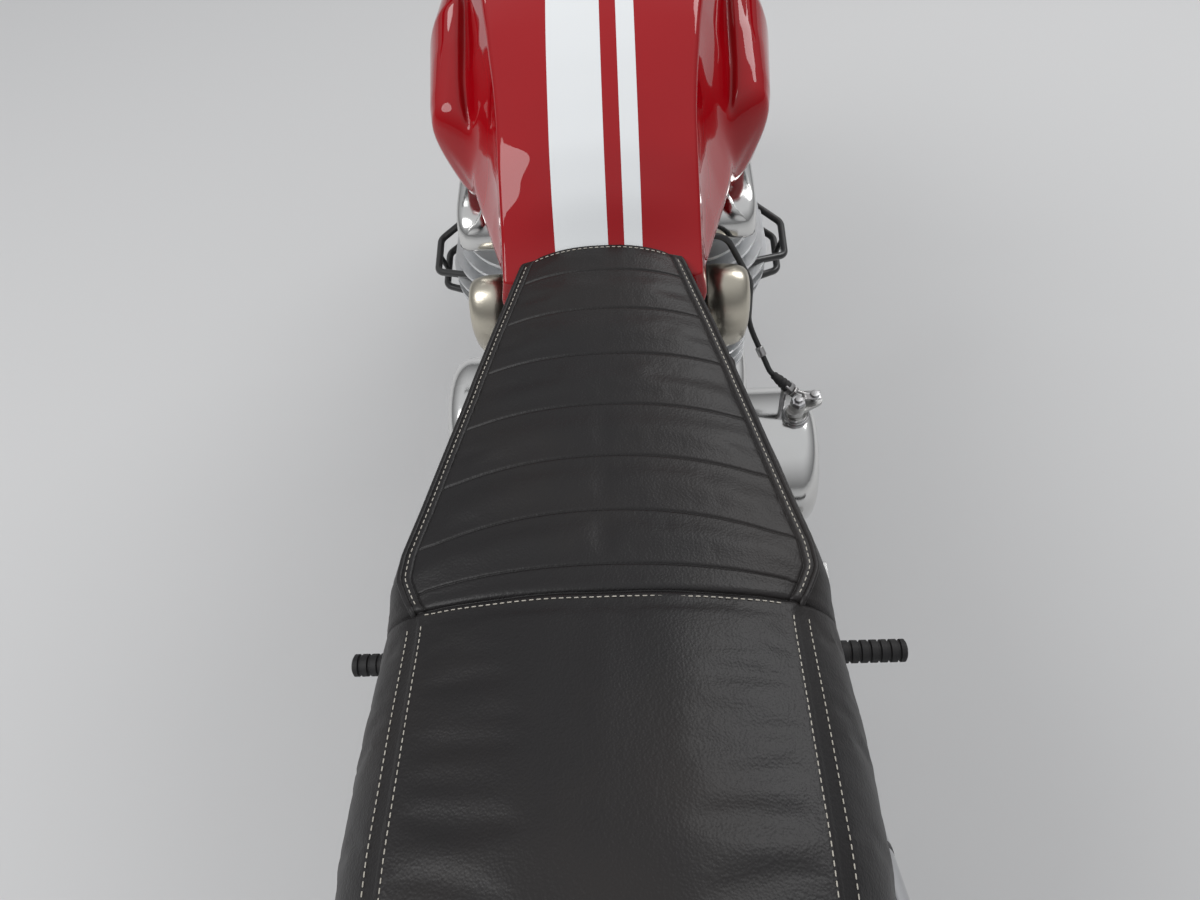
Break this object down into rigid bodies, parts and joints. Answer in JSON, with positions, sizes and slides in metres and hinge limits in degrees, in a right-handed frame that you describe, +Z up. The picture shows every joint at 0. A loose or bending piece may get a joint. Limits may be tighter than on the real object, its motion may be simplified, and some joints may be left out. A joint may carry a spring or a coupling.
{
  "type": "cafe racer motorcycle",
  "caption": "Parallel-twin cafe racer motorcycle with wire wheels, sculpted tank, ribbed seat and clip-on bars, on its centre stand.",
  "frame": {"origin": "centre of the bounding box on the floor, with the machine upright on its centre stand", "axes": "+X forward, +Y to the rider's left, +Z up"},
  "size_m": [2.1169, 0.7654, 1.1247],
  "materials": {
    "red_paint": "gloss",
    "black_paint": "satin",
    "black_plastic": "matt",
    "chrome": "polished",
    "alloy": "satin",
    "polished_alloy": "polished",
    "tyre_rubber": "matt",
    "black_rubber": "matt",
    "seat_leather": "satin",
    "steel": "brushed",
    "caliper_paint": "satin",
    "lamp_glass": "clear",
    "lamp_plastic": "gloss"
  },
  "bodies": {
    "frame": {"frame": "black_paint", "swingarm": "black_paint", "shocks": "steel", "shock_springs": "chrome", "crankcase": "alloy", "cylinder_barrels": "alloy", "cylinder_head": "alloy", "rocker_cover": "polished_alloy", "left_engine_cover": "polished_alloy", "right_engine_cover": "polished_alloy", "clutch_arm": "alloy", "throttle_bodies": "alloy", "oil_cooler": "black_paint", "exhaust_pipes": "chrome", "silencers": "chrome", "fuel_tank": "red_paint", "seat": "seat_leather", "seat_base": "black_paint", "side_panels": "red_paint", "airbox": "black_paint", "rear_mudguard": "chrome", "rear_lamps": "lamp_plastic", "footrest_hangers": "alloy", "rider_footpegs": "black_rubber", "foot_pedals": "alloy", "chain": "steel", "rear_caliper": "caliper_paint", "knee_guards": "black_paint", "clutch_cable": "black_paint"},
    "steering": {"fork_stanchions": "chrome", "fork_sliders": "alloy", "fork_gaiters": "black_rubber", "fork_yokes": "black_plastic", "handlebars": "chrome", "grips": "black_rubber", "hand_controls": "black_plastic", "mirrors": "chrome", "headlamp_shell": "chrome", "headlamp_lens": "lamp_glass", "headlamp_brackets": "black_paint", "instruments": "black_plastic", "front_indicators": "lamp_plastic", "front_mudguard": "chrome", "front_caliper": "caliper_paint"},
    "front_wheel": {"front_tyre": "tyre_rubber", "front_rim": "chrome", "front_hub_spokes": "alloy", "front_disc": "steel"},
    "rear_wheel": {"rear_tyre": "tyre_rubber", "rear_rim": "chrome", "rear_hub_spokes": "alloy", "rear_disc": "steel", "rear_sprocket": "steel"},
    "side_stand": {"side_stand": "black_paint"},
    "centre_stand": {"centre_stand": "black_paint"},
    "fuel_cap": {"fuel_cap": "chrome"}
  },
  "joints": [
    {"name": "steering_head", "type": "hinge", "parent": "frame", "child": "steering", "pos_m": [0.70797, 0, 0.30003], "axis": [-0.4147, 0, 0.91], "range_deg": [-32, 32]},
    {"name": "front_wheel_spin", "type": "hinge", "parent": "steering", "child": "front_wheel", "pos_m": [0.743, 0, 0.316], "axis": [0, 1, 0], "continuous": true},
    {"name": "rear_wheel_spin", "type": "hinge", "parent": "frame", "child": "rear_wheel", "pos_m": [-0.655, 0, 0.333], "axis": [0, 1, 0], "continuous": true},
    {"name": "side_stand_swing", "type": "hinge", "parent": "frame", "child": "side_stand", "pos_m": [0.17, 0.138, 0.165], "axis": [0, -0.9397, -0.342], "range_deg": [0, 105]},
    {"name": "centre_stand_swing", "type": "hinge", "parent": "frame", "child": "centre_stand", "pos_m": [-0.095, 0, 0.24], "axis": [0, 1, 0], "range_deg": [0, 85]},
    {"name": "fuel_cap_hinge", "type": "hinge", "parent": "frame", "child": "fuel_cap", "pos_m": [0.287, 0, 0.972], "axis": [0, 1, 0], "range_deg": [0, 95]}
  ]
}
